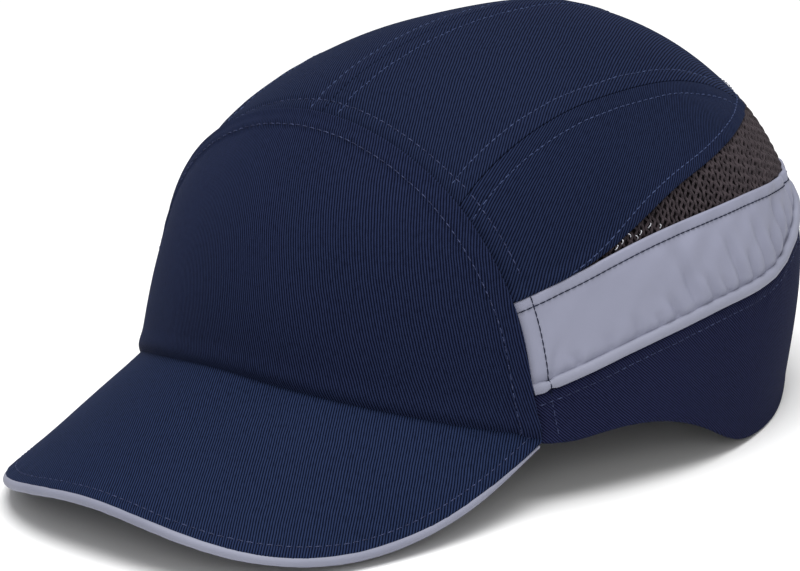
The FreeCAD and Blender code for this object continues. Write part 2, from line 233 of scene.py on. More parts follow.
def field_distance(values, step_u, step_v):
    """A field over a grid, divided by its slope along the surface: near zero, a distance."""
    slope_u, slope_v = np.gradient(values)
    uu, uv, vv = (step_u ** 2).sum(-1), (step_u * step_v).sum(-1), (step_v ** 2).sum(-1)
    area = np.maximum(uu * vv - uv ** 2, 1e-9)
    steep = (vv * slope_u ** 2 - 2 * uv * slope_u * slope_v + uu * slope_v ** 2) / area
    return values / np.sqrt(np.maximum(steep, 1e-4))


def grid_quads(nu, nv):
    index = np.arange(nu * nv).reshape(nu, nv)
    corners = index[:-1, :-1], index[1:, :-1], index[1:, 1:], index[:-1, 1:]
    return np.stack(corners, -1).reshape(-1, 4).tolist()


def grid_patch(places, extra=()):
    """A patch over a rectangular grid of design-frame points."""
    step_u, step_v = np.gradient(places, axis=0), np.gradient(places, axis=1)
    normal = np.cross(step_u, step_v)
    normal /= np.maximum(np.linalg.norm(normal, axis=-1, keepdims=True), 1e-9)
    x, y, z = places[..., 0], places[..., 1], places[..., 2]
    arch_y = np.where(z > ARCH_SPRING, (z - ARCH_SPRING) / (ARCH_HEIGHT - ARCH_SPRING), 0)
    raw = {
        "seam": y - seam_at(z), "low": z - band_low_at(y), "top": z - band_top_at(y),
        "hem": z - side_low_at(y), "rim": z - rim_at(y),
        "peak": z - peak_top(np.clip(x, -PEAK_HALF_WIDTH, PEAK_HALF_WIDTH), y),
        "arch": np.hypot(x / ARCH_HALF_WIDTH, arch_y) - 1, "centre": x, "side": np.abs(x) - SIDE_SEAM_X,
    }
    raw.update(extra)
    named = {name: field_distance(value, step_u, step_v) for name, value in raw.items()}
    named["bead"] = named["low"] - BEAD_HEIGHT
    middle = places.shape[0] // 2
    run = np.cumsum(np.linalg.norm(step_u, axis=-1), axis=0)
    named["around"], named["up"] = run - run[middle], np.cumsum(np.linalg.norm(step_v, axis=-1), axis=1)
    columns = [places.reshape(-1, 3), normal.reshape(-1, 3)]
    columns += [named.get(name, np.zeros(x.shape)).reshape(-1, 1) for name in FIELDS]
    nu, nv = x.shape
    return Patch(np.concatenate(columns, 1), grid_quads(nu, nv))


def cut(patch, values, both=False):
    """Cuts the faces along values = 0 and keeps the side above it, or both sides."""
    rows, faces = patch.rows, patch.faces
    flags = (values >= 0).tolist()
    made, new_rows, kept = {}, [], []

    def crossing(a, b):
        key = (a, b) if a < b else (b, a)
        if key not in made:
            share = values[key[0]] / (values[key[0]] - values[key[1]])
            made[key] = len(rows) + len(new_rows)
            new_rows.append(rows[key[0]] * (1 - share) + rows[key[1]] * share)
        return made[key]

    for face in faces:
        inside = sum(flags[i] for i in face)
        if inside == len(face):
            kept.append(face)
            continue
        if inside == 0:
            if both:
                kept.append(face)
            continue
        upper, lower = [], []
        for a, b in zip(face, face[1:] + face[:1]):
            (upper if flags[a] else lower).append(a)
            if flags[a] != flags[b]:
                point = crossing(a, b)
                upper.append(point)
                lower.append(point)
        kept.append(upper)
        if both:
            kept.append(lower)
    return Patch(np.concatenate([rows, np.array(new_rows)]) if new_rows else rows, kept)


NEAR = 3.0  # more than a face is wide


def near(patch, keep):
    """The part of a patch whose faces have some corner where keep is true; saves work before cutting."""
    flags = keep.tolist()
    return Patch(patch.rows, [face for face in patch.faces if any(flags[i] for i in face)])


def edge_distance(patch, sides):
    return np.min([factor * patch.get(name) + offset for name, factor, offset in sides], axis=0)


def trimmed(patch, *sides, rings=(0.4, 1.0)):
    """Keeps what lies inside every side, a (field, factor, offset) of which factor * field + offset is kept
    where it is above 0, and adds edge loops just inside each side for a crisp rolled edge."""
    def inside(part, side):
        name, factor, offset = side
        return factor * part.get(name) + offset
    patch = near(patch, edge_distance(patch, sides) > -NEAR)
    for side in sides:
        patch = cut(patch, inside(patch, side))
    for ring in rings:
        for side in sides:
            patch = cut(patch, inside(patch, side) - ring, both=True)
    return patch


# ---- making objects ----
def mesh_object(name, vertices, faces, material, body, uv=None, crease=35):
    mesh = bpy.data.meshes.new(name)
    mesh.from_pydata([tuple(v) for v in vertices], [], faces)
    if uv is not None:
        layer = mesh.uv_layers.new(name="weave")
        loops = np.zeros(len(mesh.loops), int)
        mesh.loops.foreach_get("vertex_index", loops)
        layer.data.foreach_set("uv", np.asarray(uv)[loops].astype(np.float32).ravel())
    mesh.polygons.foreach_set("use_smooth", [True] * len(mesh.polygons))
    mesh.set_sharp_from_angle(angle=math.radians(crease))
    mesh.materials.append(material)
    made = bpy.data.objects.new(name, mesh)
    bpy.context.scene.collection.objects.link(made)
    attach(made, body)
    return made


def shell(name, patch, outer, inner, material, body, uv, nodes=(), crease=50):
    """A closed piece of cloth or foam: the patch moved out to two heights along its normals."""
    used = sorted({i for face in patch.faces for i in face})
    renumber = np.full(len(patch.rows), -1)
    renumber[used] = np.arange(len(used))
    rows = patch.rows[used]
    faces = [[int(renumber[i]) for i in face] for face in patch.faces]
    count = len(used)
    top = rows[:, :3] + rows[:, 3:6] * np.asarray(outer)[used][:, None]
    under = rows[:, :3] + rows[:, 3:6] * np.asarray(inner)[used][:, None]
    edges = {}
    for face in faces:
        for a, b in zip(face, face[1:] + face[:1]):
            edges[(a, b)] = True
    closed = list(faces)
    closed += [[i + count for i in reversed(face)] for face in faces]
    closed += [[b, a, a + count, b + count] for a, b in edges if (b, a) not in edges]
    flat = np.asarray(uv)[used]
    made = mesh_object(name, place(np.concatenate([top, under])), closed, material, body,
                       np.concatenate([flat, flat]), crease)
    if nodes:
        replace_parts(made, *nodes)
    return made


def sweep(points, normals, across, out, sides):
    """Vertices and faces of a tube along points, with an oval section: across and out are radii per point."""
    along = np.gradient(points, axis=0)
    along /= np.linalg.norm(along, axis=1, keepdims=True)
    normals = normals - along * (normals * along).sum(1, keepdims=True)
    normals /= np.linalg.norm(normals, axis=1, keepdims=True)
    side = np.cross(along, normals)
    turn = np.arange(sides) * 2 * math.pi / sides
    across, out = (np.broadcast_to(r, len(points)) for r in (across, out))
    ring = (points[:, None] + side[:, None] * (across[:, None] * np.cos(turn))[..., None]
            + normals[:, None] * (out[:, None] * np.sin(turn))[..., None])
    last = (len(points) - 1) * sides
    faces = [[i + k, i + (k + 1) % sides, i + sides + (k + 1) % sides, i + sides + k]
             for i in range(0, last, sides) for k in range(sides)]
    faces += [list(range(sides))[::-1], [last + k for k in range(sides)]]
    return ring.reshape(-1, 3), faces


def tube(name, line, shift, across, out, sides, material, slot, *nodes):
    """A cord or tape along a line's rows, its middle moved off them by shift."""
    ring, quads = sweep(line[:, :3] + shift, line[:, 3:6], across, out, sides)
    made = mesh_object(name, place(ring), quads, material, "cap")
    if nodes:
        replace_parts(made, *nodes)


class Yarns:
    """Many thin yarns gathered into one mesh."""

    def __init__(self):
        self.verts, self.faces, self.count = [], [], 0

    def add(self, points, normals, across, out):
        ring, quads = sweep(points, normals, across, out, sides=6)
        self.faces.extend([[i + self.count for i in face] for face in quads])
        self.verts.append(ring)
        self.count += len(ring)

    def make(self, name, material, slot):
        return mesh_object(name, place(np.concatenate(self.verts)), self.faces, material, "cap")


def isolines(patch, values):
    """The lines along values = 0, as arrays of rows, longest first."""
    made, links = {}, {}
    flags = (values >= 0).tolist()

    def crossing(a, b):
        key = (a, b) if a < b else (b, a)
        if key not in made:
            share = values[key[0]] / (values[key[0]] - values[key[1]])
            made[key] = patch.rows[key[0]] * (1 - share) + patch.rows[key[1]] * share
        return key

    for face in patch.faces:
        cuts = [crossing(a, b) for a, b in zip(face, face[1:] + face[:1]) if flags[a] != flags[b]]
        if len(cuts) == 2:
            links.setdefault(cuts[0], []).append(cuts[1])
            links.setdefault(cuts[1], []).append(cuts[0])
    lines, seen = [], set()
    for start in sorted(links, key=lambda key: (len(links[key]), key)):
        if start in seen:
            continue
        line, here = [start], start
        seen.add(start)
        while True:
            onward = [key for key in links[here] if key not in seen]
            if not onward:
                break
            here = onward[0]
            seen.add(here)
            line.append(here)
        lines.append(np.array([made[key] for key in line]))
    return sorted(lines, key=len, reverse=True)


def resample(rows, step):
    """A line's rows at even steps along it."""
    run = np.concatenate([[0], np.cumsum(np.linalg.norm(np.diff(rows[:, :3], axis=0), axis=1))])
    keep = np.concatenate([[True], np.diff(run) > 1e-6])
    rows, run = rows[keep], run[keep]
    places = np.arange(0, run[-1], step)
    out = np.stack([np.interp(places, run, rows[:, k]) for k in range(rows.shape[1])], 1)
    window = np.ones(5) / 5
    for k in range(BASE if len(out) >= len(window) else 0):
        out[2:-2, k] = np.convolve(out[:, k], window, "valid")
    return out


SHORTEST_RUN = 8  # rows


def runs_where(rows, keep):
    """The stretches of a line where keep is true."""
    parts, current = [], []
    for row, good in zip(rows, keep):
        if good:
            current.append(row)
        elif current:
            parts.append(np.array(current))
            current = []
    if current:
        parts.append(np.array(current))
    return [part for part in parts if len(part) > SHORTEST_RUN]


STITCH, GAP, THREAD, THREAD_STEP = 2.1, 0.6, 0.17, 0.3
THREAD_RISE, THREAD_SINK, END_THICKNESS = 0.26, 0.14, 0.45
thread_store = {}


def topstitch(store, rows, height, gap=GAP, radius=THREAD, sink=THREAD_SINK):
    """Adds a row of stitches on a line; height gives the cloth's surface over a line's rows."""
    yarns = thread_store.setdefault(store, Yarns())
    fine = resample(rows, THREAD_STEP)
    lifted = fine[:, :3] + fine[:, 3:6] * height(Patch(fine, []))[:, None]
    per_stitch, per_pitch = round(STITCH / THREAD_STEP), round((STITCH + gap) / THREAD_STEP)
    arc = np.sin(np.linspace(0, math.pi, per_stitch + 1))
    thick = radius * (END_THICKNESS + (1 - END_THICKNESS) * arc ** 0.5)
    for start in range(2, len(fine) - per_stitch - 2, per_pitch):
        part = slice(start, start + per_stitch + 1)
        normals = fine[part, 3:6]
        yarns.add(lifted[part] + normals * (arc * THREAD_RISE - sink)[:, None], normals, thick, thick)


def stitch_lines(store, patch, values, keep, height, **yarn):
    """Sews along the lines where values pass 0."""
    for line in isolines(patch, values):
        for part in runs_where(line, keep(Patch(line, []))):
            topstitch(store, part, height, **yarn)


# ---- materials ----
def srgb(r, g, b):
    """Screen colour from 0 to 255 to the linear colour that a shader takes."""
    linear = [((c / 255 + 0.055) / 1.055) ** 2.4 if c > 10 else c / 255 / 12.92 for c in (r, g, b)]
    return (*linear, 1.0)


class Nodes:
    """A short way to write a material's nodes."""

    def __init__(self, name):
        self.material = bpy.data.materials.new(name)
        self.material.use_nodes = True
        self.tree = self.material.node_tree
        self.tree.nodes.clear()
        self.shader = self.add("ShaderNodeBsdfPrincipled")
        out = self.add("ShaderNodeOutputMaterial")
        self.link(self.shader.outputs[0], out.inputs[0])

    def add(self, kind, **settings):
        made = self.tree.nodes.new(kind)
        for key, value in settings.items():
            setattr(made, key, value)
        return made

    def link(self, a, b):
        self.tree.links.new(a, b)

    def feed(self, socket, value):
        if hasattr(value, "is_output"):
            self.link(value, socket)
        else:
            socket.default_value = value

    def math(self, operation, a, b=0.0):
        made = self.add("ShaderNodeMath", operation=operation)
        self.feed(made.inputs[0], a)
        self.feed(made.inputs[1], b)
        return made.outputs[0]

    def noise(self, scale, detail=2.0, vector=None, roughness=0.5):
        made = self.add("ShaderNodeTexNoise")
        made.inputs["Scale"].default_value = scale
        made.inputs["Detail"].default_value = detail
        made.inputs["Roughness"].default_value = roughness
        self.link(vector or self.place(), made.inputs["Vector"])
        return made.outputs["Fac"]

    def place(self):
        return self.add("ShaderNodeTexCoord").outputs["Object"]

    def ramp(self, value, stops):
        made = self.add("ShaderNodeValToRGB")
        self.link(value, made.inputs[0])
        ramp = made.color_ramp
        while len(ramp.elements) < len(stops):
            ramp.elements.new(0.5)
        for element, (position, colour) in zip(ramp.elements, stops):
            element.position = position
            element.color = colour if len(colour) == 4 else (*colour, 1)
        return made.outputs[0]

    def step(self, value, low, high, top=1.0):
        """From black to a grey of top as value goes from low to high."""
        return self.ramp(value, [(low, (0, 0, 0)), (high, (top, top, top))])

    def mix(self, share, a, b):
        made = self.add("ShaderNodeMix", data_type="RGBA")
        self.feed(made.inputs[0], share)
        self.feed(made.inputs[6], a)
        self.feed(made.inputs[7], b)
        return made.outputs[2]

    def bump(self, height, distance, strength=1.0, below=None):
        made = self.add("ShaderNodeBump")
        made.inputs["Distance"].default_value = distance
        made.inputs["Strength"].default_value = strength
        self.link(height, made.inputs["Height"])
        if below is not None:
            self.link(below, made.inputs["Normal"])
        return made.outputs[0]

    def set(self, **values):
        for key, value in values.items():
            self.feed(self.shader.inputs[key.replace("_", " ")], value)
        return self.material


def twill(name, light, dark, rib_pitch=0.79, sheen=0.05):
    """Twill: ribs across U, broken along V by the yarns; U and V are in millimetres."""
    n = Nodes(name)
    flat = n.add("ShaderNodeUVMap", uv_map="weave")
    split = n.add("ShaderNodeSeparateXYZ")
    n.link(flat.outputs[0], split.inputs[0])
    u, v = split.outputs[0], split.outputs[1]
    wander = n.math("MULTIPLY", n.math("SUBTRACT", n.noise(90, 2), 0.5), 0.7)
    phase = n.math("MULTIPLY", n.math("ADD", u, wander), 2 * math.pi / rib_pitch)
    wave = n.math("ADD", n.math("MULTIPLY", n.math("SINE", phase), 0.62), 0.5)
    rib = n.math("MINIMUM", n.math("MAXIMUM", wave, 0.0), 1.0)
    yarn_place = n.add("ShaderNodeCombineXYZ")
    n.link(n.math("MULTIPLY", u, 1.1), yarn_place.inputs[0])
    n.link(n.math("MULTIPLY", v, 0.5), yarn_place.inputs[1])
    slub = n.math("SUBTRACT", n.noise(1, 2, yarn_place.outputs[0]), 0.5)
    patchy = n.math("SUBTRACT", n.noise(24, 4), 0.5)
    blotches = n.math("ADD", n.math("MULTIPLY", slub, 1.3), n.math("MULTIPLY", patchy, 0.45))
    uneven = n.math("ADD", 1.0, blotches)
    tone = n.math("MULTIPLY", n.math("ADD", rib, 0.06), uneven)
    colour = n.ramp(tone, [(0.0, dark), (1.0, light)])
    fuzz = n.bump(n.noise(2600, 2), 0.00005)
    normal = n.bump(rib, 0.0001, 1.0, fuzz)
    n.set(Base_Color=colour, Roughness=0.9, Normal=normal, Sheen_Weight=sheen, Sheen_Roughness=0.35,
          Specular_IOR_Level=0.04)
    n.shader.inputs["Sheen Tint"].default_value = srgb(130, 150, 215)
    return n.material


def reflective(name, base, streak):
    """Grey retro-reflective cloth: very fine grain, faint smudges and a slight gloss."""
    n = Nodes(name)
    grain = n.noise(3200, 2)
    smudge = n.noise(30, 4, roughness=0.55)
    colour = n.mix(n.step(smudge, 0.4, 0.7), base, streak)
    normal = n.bump(grain, 0.000015, 0.6, n.bump(n.noise(140, 2), 0.0002, 0.25))
    return n.set(Base_Color=colour, Roughness=0.62, Normal=normal, Specular_IOR_Level=0.3)


def plain_cloth(name, colour, shade, scale=1500, bump_height=0.00008, sheen=0.3, patches=60):
    """Knitted or felted cloth: fine fibres and a soft change of shade."""
    n = Nodes(name)
    fibre = n.noise(scale, 4, roughness=0.7)
    tone = n.mix(n.step(n.noise(patches, 3), 0.3, 0.7), colour, shade)
    tone = n.mix(n.step(fibre, 0.35, 0.75, 0.6), tone,
                 tuple(min(1, c * 2.2 + 0.01) for c in colour[:3]) + (1,))
    return n.set(Base_Color=tone, Roughness=0.92, Normal=n.bump(fibre, bump_height), Sheen_Weight=sheen,
                 Specular_IOR_Level=0.1)


def moulded(name, colour, shade, roughness=0.42):
    """Moulded plastic with a fine spark-eroded grain and slight handling marks."""
    n = Nodes(name)
    grain = n.noise(1700, 2)
    marks = n.noise(45, 6, roughness=0.65)
    tone = n.mix(n.step(marks, 0.4, 0.7), colour, shade)
    rough = n.math("ADD", n.math("MULTIPLY", marks, 0.18), roughness - 0.08)
    return n.set(Base_Color=tone, Roughness=rough, Normal=n.bump(grain, 0.00005, 0.7),
                 Specular_IOR_Level=0.45)


def thread(name, colour, light):
    n = Nodes(name)
    twist = n.noise(1400, 2)
    tone = n.mix(n.step(twist, 0.4, 0.65), colour, light)
    return n.set(Base_Color=tone, Roughness=0.65, Normal=n.bump(twist, 0.00008), Specular_IOR_Level=0.15)


NAVY = twill("navy_twill", srgb(32, 41, 67), srgb(2, 3, 16))
NAVY_FRONT = twill("navy_twill_front", srgb(32, 40, 67), srgb(2, 3, 16), rib_pitch=0.73)
# the peak's twill is a lighter copy of the navy: painted light, for the peak's top that faces the light from
# above
NAVY_PEAK_LIT = twill("navy_twill_peak_lit", srgb(35, 46, 75), srgb(0, 1, 11))
NAVY_SIDE = twill("navy_twill_side", srgb(31, 40, 66), srgb(2, 3, 16), rib_pitch=0.95)
NAVY_LOW = twill("navy_twill_fine", srgb(36, 40, 69), srgb(3, 4, 19), rib_pitch=0.64, sheen=0.02)
GREY = reflective("reflective_cloth", srgb(131, 133, 151), srgb(124, 126, 143))
BEAD = reflective("reflective_bead", srgb(131, 133, 149), srgb(121, 123, 139))
MESH = plain_cloth("mesh_yarn", srgb(54, 47, 50), srgb(19, 15, 19), scale=2600, sheen=0.03, patches=380)
# light-grey yarn whose colour is painted highlight, for the glints in the mesh
GLINT = thread("glint_highlight_thread", srgb(150, 150, 156), srgb(215, 216, 222))
# backing under the mesh strands: its near-black colour is painted shade, for the dark seen through the holes
MESH_BACK_SHADE = plain_cloth("mesh_backing_painted_shade", srgb(14, 11, 13), srgb(9, 8, 9), sheen=0.0)
TAPE = plain_cloth("seam_tape", srgb(26, 32, 60), srgb(18, 22, 46))
TERRY = plain_cloth("terry", srgb(34, 36, 46), srgb(22, 24, 34), scale=900, bump_height=0.0005)
FOAM = plain_cloth("foam", srgb(44, 44, 48), srgb(32, 32, 36), scale=700, bump_height=0.0003)
LOOP = plain_cloth("loop_fuzz", srgb(30, 34, 54), srgb(20, 22, 40), scale=1100, bump_height=0.0006)
WEB = twill("webbing", srgb(44, 50, 78), srgb(10, 13, 30), rib_pitch=1.6)
SHELL = moulded("liner_plastic", srgb(34, 34, 38), srgb(26, 26, 30))
BOARD = moulded("peak_board_plastic", srgb(200, 200, 196), srgb(185, 185, 180), 0.5)
NAVY_THREAD = thread("navy_thread", srgb(36, 46, 76), srgb(64, 76, 110))
DIM_THREAD = thread("dim_thread", srgb(26, 32, 58), srgb(64, 72, 104))
DARK_THREAD = thread("dark_thread", srgb(10, 16, 34), srgb(20, 28, 52))

# ---- grids ----
detail = 1.0
WALL_COLUMNS, WALL_ROWS = int(960 * detail) + 1, int(190 * detail)
WALL_FROM, WALL_TO = -0.02, 0.72  # how much of the quarter turn from the rim to the apex the wall covers
turns = np.linspace(-math.pi, math.pi, WALL_COLUMNS)
levels = CROWN_HEIGHT * np.sin(np.linspace(WALL_FROM, WALL_TO, WALL_ROWS) * math.pi / 2)
wall = grid_patch(crown_at(turns[:, None], levels[None, :]))

TOP_STEP = 0.7 / detail
top_x = np.arange(-SIDE_SEAM_X - 4, SIDE_SEAM_X + 4.01, TOP_STEP)
top_y = np.arange(-76, 101, TOP_STEP)
grid_x, grid_y = np.meshgrid(top_x, top_y, indexing="ij")
dome = grid_patch(np.stack([grid_x, grid_y, crown_over(grid_x, grid_y)], -1))

# ---- how high the cloth stands off the crown ----
FRONT_STITCH, CROWN_STITCH, SEAM_STITCH, HEM_STITCH, BAND_STITCH, LOW_STITCH = 6.0, 5.2, 5.3, 3.6, 3.0, 3.2
EDGE_ROLL, CROWN_ROLL = 0.7, 0.35


def rolled(distance, radius=EDGE_ROLL):
    """A folded edge: rises in a quarter circle over its first radius of width."""
    near_edge = np.clip(distance, 0, radius)
    return np.sqrt(np.maximum(radius ** 2 - (radius - near_edge) ** 2, 0)) - radius


def allowance(distance, lift, stitch, dip=0.3):
    """The double cloth beside a seam, held down by its row of stitches."""
    flat = 1 - smooth(stitch - 0.4, stitch + 1.6, distance)
    return lift * flat - dip * bump(distance - stitch, 1.0)


def pucker(patch, distance, reach, seed, size=0.16):
    return size * ripples(patch.places, 9, seed) * bump(distance, reach)


def drape(patch, seed, size=0.45, wavelength=48):
    return size * ripples(patch.places, wavelength, seed, waves=9)


def front_height(p):
    d = -p.get("seam")
    ridge = 0.3 * bump(d - 0.8, 0.9) - 0.2 * bump(d - 3.2, 1.3)
    return (0.25 + allowance(d, 1.1, FRONT_STITCH, 0.45) + ridge + drape(p, 3, 0.4, 60)
            + pucker(p, d - FRONT_STITCH, 4, 5) + 0.6 * bump(p.get("peak") - 3.5, 3)
            - 0.9 * bump(p.get("peak"), 1.6))


def crown_height(p):
    seam, centre, side = p.get("seam"), np.abs(p.get("centre")), np.abs(p.get("side"))
    h = allowance(seam, -0.1, CROWN_STITCH, 0.3) - 0.5 * bump(seam, 1.2)
    h = h + allowance(centre, 0.3, SEAM_STITCH) + allowance(side, 0.3, SEAM_STITCH)
    h = h + pucker(p, centre - SEAM_STITCH, 4, 11) + pucker(p, side - SEAM_STITCH, 4, 12)
    return h + drape(p, 7, 0.35, 55)


def side_height(p):
    h = crown_height(p) + allowance(p.get("hem"), 0.45, HEM_STITCH, 0.25)
    return h + pucker(p, p.get("hem"), 5, 14, 0.25)


# creases rising from the bead: place along Y, how far they lean, how high they reach, depth and width
CREASES = [(-51, 2.5, 11, 0.35, 1.3), (-43, -1.5, 5, 0.45, 1.2), (-33, -1.0, 6, 0.25, 1.6),
           (-23, -2, 9, 0.35, 1.6), (-15, -1.5, 5, 0.4, 1.3), (-8, -4, 9, 0.65, 1.6),
           (0, -7, 23, 0.75, 2.1), (8, -5, 11, 0.6, 1.5), (14, -3, 6, 0.5, 1.2), (20, -6, 22, 0.75, 1.8),
           (27, -3, 11, 0.7, 1.4), (34, -5, 24, 0.7, 1.7), (41, -3, 12, 0.7, 1.4), (47, -3, 22, 0.65, 1.6),
           (55, -3, 11, 0.6, 1.5), (63, -2, 20, 0.6, 1.8), (74, -2, 10, 0.5, 1.6), (84, -1, 16, 0.5, 1.8)]
FOLD_DEPTH = 1.6


def band_folds(p):
    """Creases that start at the bead and run up the band, more of them towards the back."""
    y, height = p.places[:, 1], p.get("bead")
    shift = np.where(p.places[:, 0] > 0, 0, 2.6)
    total = np.zeros(len(y))
    for start, lean, reach, depth, width in CREASES:
        away = y - (start + shift + lean * height / reach)
        fade_up = smooth(0, 0.3, height / reach + 0.12) * (1 - smooth(0.4, 1.05, height / reach))
        spread = 0.75 * width * (1 + 0.8 * height / reach)
        ridges = bump(away - 1.9 * spread, 1.3 * spread) + bump(away + 1.9 * spread, 1.3 * spread)
        total += FOLD_DEPTH * depth * fade_up * (0.4 * ridges - bump(away, spread))
    backness = smooth(-50, 60, y)
    return total + (0.12 + 0.22 * backness) * ripples(np.stack([p.get("around"), height, 0 * y], 1), 16, 23)


def band_height(p):
    top, seam = -p.get("top"), p.get("seam")
    proud = 0.45 - 0.4 * smooth(30, 62, p.places[:, 1])
    h = proud + allowance(top, 0.25, BAND_STITCH, 0.3) + band_folds(p)
    h = h + pucker(p, top - BAND_STITCH, 3, 25, 0.2)
    h = h - 0.25 * bump(seam - CROWN_STITCH, 1.0) - 0.45 * bump(p.get("bead") - 0.2, 1.1)
    return h - 0.7 * bump(seam, 1.2)


def lower_height(p):
    low, seam, rim = -p.get("low"), p.get("seam"), p.get("rim")
    h = 0.2 + allowance(low, 0.35, LOW_STITCH, 0.3) - 0.4 * bump(low, 0.9) + drape(p, 31, 0.4, 50)
    h = h - 0.6 * bump(seam, 1.4) - 0.2 * bump(seam - CROWN_STITCH, 1.0)
    flare = bump(p.places[:, 1] + 8, 26) * (1 - smooth(0, 22, rim))
    return h + 1.6 * flare + 0.3 * bump(rim - 1.5, 2.5) + pucker(p, low - LOW_STITCH, 4, 33)


def weave_uv(first, second, angle):
    """Cloth coordinates turned so that V runs along the ribs, in millimetres."""
    cosine, sine = math.cos(math.radians(angle)), math.sin(math.radians(angle))
    return np.stack([first * cosine + second * sine, second * cosine - first * sine], 1)


def wall_uv(patch, angle):
    return weave_uv(patch.get("around"), patch.get("up"), angle)


def panel(name, patch, sides, height, material, node, angle, flat="wall", roll=EDGE_ROLL):
    """A sewn panel cut from a patch, with rolled edges."""
    patch = trimmed(patch, *sides, rings=(roll * 0.25, roll))
    edge = edge_distance(patch, sides)
    h = height(patch)
    outer = h + rolled(edge, roll)
    inner = h - FABRIC - 0.3 * rolled(edge, roll)
    if flat == "wall":
        uv = wall_uv(patch, angle)
    else:
        x, y = patch.places[:, 0], patch.places[:, 1]
        uv = weave_uv(x * (1 + 2.5e-5 * x ** 2), y, angle)
    shell(name, patch, outer, inner, material, "cap", uv, [node])


SEWN = 0.05  # how far panels stand from a seam line

# front panel
front_part = near(wall, wall.get("seam") < 2).copy()
front_part.rows[:, COLUMN["peak"]] += 1.2 * bump(front_part.get("seam"), 10)  # lower beside the seam
front_sides = [("seam", -1, -SEWN), ("peak", 1, 0.3)]
panel("front_panel_cloth", front_part, front_sides, front_height, NAVY_FRONT, "front_panel", 21)

# the arch is only at the back, so ahead of it its field is put out of reach
OUT_OF_REACH = 60
wall.rows[:, COLUMN["arch"]] = np.where(wall.places[:, 1] > 20, wall.get("arch"), OUT_OF_REACH)

# each side: a panel over the top, cut from the dome grid; a side panel, the band and the lower panel
for sign, word in ((1, "left"), (-1, "right")):
    inner, behind, above_hem = ("centre", sign, -SEWN), ("seam", 1, -SEWN), ("hem", 1, -SEWN)
    top_sides = [inner, ("side", -1, -SEWN), behind, above_hem]
    panel(f"crown_top_cloth_{word}", dome, top_sides, crown_height, NAVY,
          f"crown_top_panel_{word}", 31, flat="top", roll=CROWN_ROLL)
    side_part = near(wall, sign * wall.places[:, 0] > 30)
    side_sides = [("side", 1, -SEWN), behind, above_hem, ("top", 1, -SEWN)]
    panel(f"crown_side_cloth_{word}", side_part, side_sides, side_height, NAVY_SIDE,
          f"crown_side_panel_{word}", -5 * sign, roll=CROWN_ROLL)
    band_sides = [inner, ("seam", 1, 0.2), ("bead", 1, 0.9), ("top", -1, 0.2)]
    panel(f"reflective_band_cloth_{word}", wall, band_sides, band_height, GREY,
          f"reflective_band_{word}", 0)
    low_sides = [inner, ("seam", 1, 0.2), ("low", -1, 0.1), ("rim", 1, 0), ("arch", 1, -BINDING_WIDTH + 0.8)]
    panel(f"lower_rear_cloth_{word}", wall, low_sides, lower_height, NAVY_LOW,
          f"lower_rear_panel_{word}", 48 * sign)


# ---- mesh vent: a dense backing with wavy strands that part into long holes ----
MESH_TUCK, MESH_FRONT = 1.5, 14  # how far it goes under its neighbours, and its distance from the seam


def mesh_height(p):
    return -1.0 + 0.65 * smooth(0, 60, p.places[:, 1]) + 0.25 * drape(p, 41)


mesh_sides = [("top", 1, MESH_TUCK), ("hem", -1, MESH_TUCK), ("seam", 1, -MESH_FRONT)]
mesh_patch = trimmed(wall, *mesh_sides, rings=())
mesh_middle = mesh_height(mesh_patch)
# the backing's near-black colour is painted shade in the holes between the strands
shell("mesh_vent_backing", mesh_patch, mesh_middle - 0.7, mesh_middle - 1.3, MESH_BACK_SHADE, "cap",
      wall_uv(mesh_patch, 0))

STRAND_PITCH, HOLE_LENGTH, STRAND, STRAND_STEP, STRAND_SWAY = 1.45, 2.7, 0.43, 0.36, 0.32
STRAND_LEAN, STRAND_WANDER = 0.22, 0.22
STRAND_LOW, STRAND_MIDDLE, STRAND_HIGH = 56.0, 76, 92.0
wall_rows = wall.rows.reshape(WALL_COLUMNS, WALL_ROWS, -1)


def wall_row_at(column, rows_up):
    """Rows of the wall grid at fractional columns and rows."""
    column = np.clip(column, 0, WALL_COLUMNS - 1.001)
    rows_up = np.clip(rows_up, 0, WALL_ROWS - 1.001)
    i, j = column.astype(int), rows_up.astype(int)
    a, b = (column - i)[:, None], (rows_up - j)[:, None]
    return ((wall_rows[i, j] * (1 - a) + wall_rows[i + 1, j] * a) * (1 - b)
            + (wall_rows[i, j + 1] * (1 - a) + wall_rows[i + 1, j + 1] * a) * b)


around_line = wall.get("around").reshape(WALL_COLUMNS, WALL_ROWS)[:, np.searchsorted(levels, STRAND_MIDDLE)]
strands = Yarns()
first_strand, last_strand = around_line[0] - 2 * STRAND_PITCH, around_line[-1] + 2.5 * STRAND_PITCH
for number, start in enumerate(np.arange(first_strand, last_strand, STRAND_PITCH)):
    up = np.arange(STRAND_LOW, STRAND_HIGH, STRAND_STEP)
    slant = STRAND_LEAN * (up - STRAND_MIDDLE) * (1 if start > 0 else -1)
    step_phase = 2 * math.pi * up / HOLE_LENGTH + math.pi * (number % 2)
    side_step = STRAND_SWAY * np.sin(step_phase) + STRAND_WANDER * np.sin(0.9 * up + 1.7 * number)
    column = np.interp(start + slant + side_step, around_line, np.arange(WALL_COLUMNS))
    line = wall_row_at(column, np.interp(up, levels, np.arange(WALL_ROWS)))
    tucked = -1.2 + 1.6 * smooth(20, 60, line[:, 1])
    keep = ((line[:, COLUMN["top"]] > tucked) & (line[:, COLUMN["hem"]] < 1.2)
            & (line[:, COLUMN["seam"]] > MESH_FRONT + 1))
    for part in runs_where(line, keep):
        weave_in = 0.25 * np.cos(2 * math.pi * np.arange(len(part)) * STRAND_STEP / HOLE_LENGTH + number)
        points = part[:, :3] + part[:, 3:6] * (mesh_height(Patch(part, [])) - 0.1 + weave_in)[:, None]
        closing = 1 + 0.3 * smooth(-5, 40, part[:, 1])  # the holes get smaller towards the back
        strands.add(points, part[:, 3:6], STRAND * closing, STRAND * 0.8)
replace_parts(strands.make("mesh_vent_knit", MESH, "vent_mesh"), "mesh_vent")
